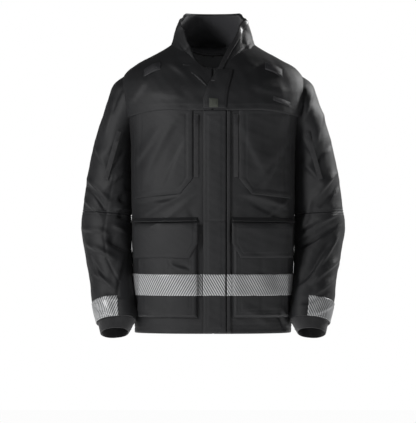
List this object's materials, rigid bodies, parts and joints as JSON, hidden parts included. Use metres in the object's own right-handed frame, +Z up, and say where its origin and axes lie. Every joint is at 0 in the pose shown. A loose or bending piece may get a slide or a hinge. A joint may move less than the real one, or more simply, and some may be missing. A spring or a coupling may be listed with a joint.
{
  "type": "turnout coat",
  "caption": "Hip-length responder's turnout coat with stand collar, hinged storm flap over a front zip, bellows pockets, reflective bands and bending sleeves.",
  "frame": {"origin": "middle of the hang loop inside the back of the collar", "axes": "+Z up the wearer, the wearer faces -Y, the wearer's right arm is at -X"},
  "size_m": [0.633, 0.313, 0.7796],
  "materials": {
    "shell": "matte charcoal-black softshell, fine weave",
    "lining": "dark grey quilted lining",
    "collar_lining": "brushed dark fleece",
    "webbing": "black woven webbing",
    "patch": "grey-olive woven tab",
    "reflective_tape": "silver retroreflective diagonal stripes on dark tape",
    "inner_cuff": "black knitted storm cuff",
    "hook_and_loop": "black hook-and-loop",
    "zip": "black moulded teeth on black tape",
    "zip_metal": "dark painted metal slider and pull"
  },
  "bodies": {
    "coat_body": {"back_panel": "shell", "back_yoke": "shell", "body_lining": "lining", "collar": "shell", "collar_lining": "collar_lining", "collar_zip": "zip", "hang_loop": "webbing", "upper_placket": "shell", "mic_tab": "patch", "storm_flap_base": "shell", "storm_flap_base_tape": "reflective_tape", "storm_flap_loop_strip": "hook_and_loop", "main_zip": "zip", "badge_tab": "webbing", "back_tape": "reflective_tape", "front_tape": "reflective_tape", "front_panel_right": "shell", "front_panel_left": "shell", "front_yoke_right": "shell", "front_yoke_left": "shell", "shoulder_loop_right": "webbing", "shoulder_loop_left": "webbing", "chest_pocket_right": "shell", "chest_pocket_left": "shell", "chest_zip_right": "zip", "chest_zip_left": "zip", "cargo_pocket_right": "shell", "cargo_pocket_left": "shell", "pocket_welt_right": "shell", "pocket_welt_left": "shell", "pocket_tape_right": "reflective_tape", "pocket_tape_left": "reflective_tape", "side_vent_zip_right": "zip", "side_vent_zip_left": "zip"},
    "storm_flap": {"storm_flap": "shell", "storm_flap_tape": "reflective_tape", "storm_flap_hook_strip": "hook_and_loop"},
    "main_zip_slider": {"main_zip_slider": "zip_metal"},
    "pocket_flap_right": {"pocket_flap_right": "shell"},
    "chest_zip_slider_right": {"chest_zip_slider_right": "zip_metal"},
    "arm_right": {"sleeve_cap_right": "shell", "upper_sleeve_right": "shell", "sleeve_zip_right": "zip"},
    "forearm_right": {"elbow_panel_right": "shell", "forearm_sleeve_right": "shell", "inner_cuff_right": "inner_cuff", "sleeve_tape_right": "reflective_tape"},
    "sleeve_zip_slider_right": {"sleeve_zip_slider_right": "zip_metal"},
    "pocket_flap_left": {"pocket_flap_left": "shell"},
    "chest_zip_slider_left": {"chest_zip_slider_left": "zip_metal"},
    "arm_left": {"sleeve_cap_left": "shell", "upper_sleeve_left": "shell", "sleeve_zip_left": "zip"},
    "forearm_left": {"elbow_panel_left": "shell", "forearm_sleeve_left": "shell", "inner_cuff_left": "inner_cuff", "sleeve_tape_left": "reflective_tape"},
    "sleeve_zip_slider_left": {"sleeve_zip_slider_left": "zip_metal"}
  },
  "joints": [
    {"name": "storm_flap_hinge", "type": "hinge", "parent": "coat_body", "child": "storm_flap", "pos_m": [0.0308, -0.2223, -0.424], "axis": [0, 0, 1], "range_deg": [0, 120]},
    {"name": "main_zip_slide", "type": "slide", "parent": "coat_body", "child": "main_zip_slider", "axis": [0, 0, 1], "range_m": [-0.49, 0]},
    {"name": "pocket_flap_hinge_right", "type": "hinge", "parent": "coat_body", "child": "pocket_flap_right", "pos_m": [-0.037, -0.2302, -0.425], "axis": [-0.9099, 0.4149, 0], "range_deg": [0, 60]},
    {"name": "chest_zip_slide_right", "type": "slide", "parent": "coat_body", "child": "chest_zip_slider_right", "axis": [0, 0, 1], "range_m": [-0.12, 0]},
    {"name": "shoulder_right", "type": "hinge", "parent": "coat_body", "child": "arm_right", "pos_m": [-0.17, -0.061, -0.13], "axis": [0, 1, 0], "range_deg": [0, 55], "deforming": ["sleeve_cap_right"]},
    {"name": "elbow_right", "type": "hinge", "parent": "arm_right", "child": "forearm_right", "pos_m": [-0.256, -0.074, -0.44], "axis": [-1, 0, 0], "range_deg": [0, 50], "deforming": ["elbow_panel_right"]},
    {"name": "sleeve_zip_slide_right", "type": "slide", "parent": "arm_right", "child": "sleeve_zip_slider_right", "axis": [0.2703, 0, 0.9628], "range_m": [-0.09, 0]},
    {"name": "pocket_flap_hinge_left", "type": "hinge", "parent": "coat_body", "child": "pocket_flap_left", "pos_m": [0.046, -0.2295, -0.425], "axis": [-0.9015, -0.4327, 0], "range_deg": [0, 60]},
    {"name": "chest_zip_slide_left", "type": "slide", "parent": "coat_body", "child": "chest_zip_slider_left", "axis": [0, 0, 1], "range_m": [-0.12, 0]},
    {"name": "shoulder_left", "type": "hinge", "parent": "coat_body", "child": "arm_left", "pos_m": [0.17, -0.061, -0.13], "axis": [0, -1, 0], "range_deg": [0, 55], "deforming": ["sleeve_cap_left"]},
    {"name": "elbow_left", "type": "hinge", "parent": "arm_left", "child": "forearm_left", "pos_m": [0.256, -0.074, -0.44], "axis": [-1, 0, 0], "range_deg": [0, 50], "deforming": ["elbow_panel_left"]},
    {"name": "sleeve_zip_slide_left", "type": "slide", "parent": "arm_left", "child": "sleeve_zip_slider_left", "axis": [-0.2703, 0, 0.9628], "range_m": [-0.09, 0]}
  ]
}
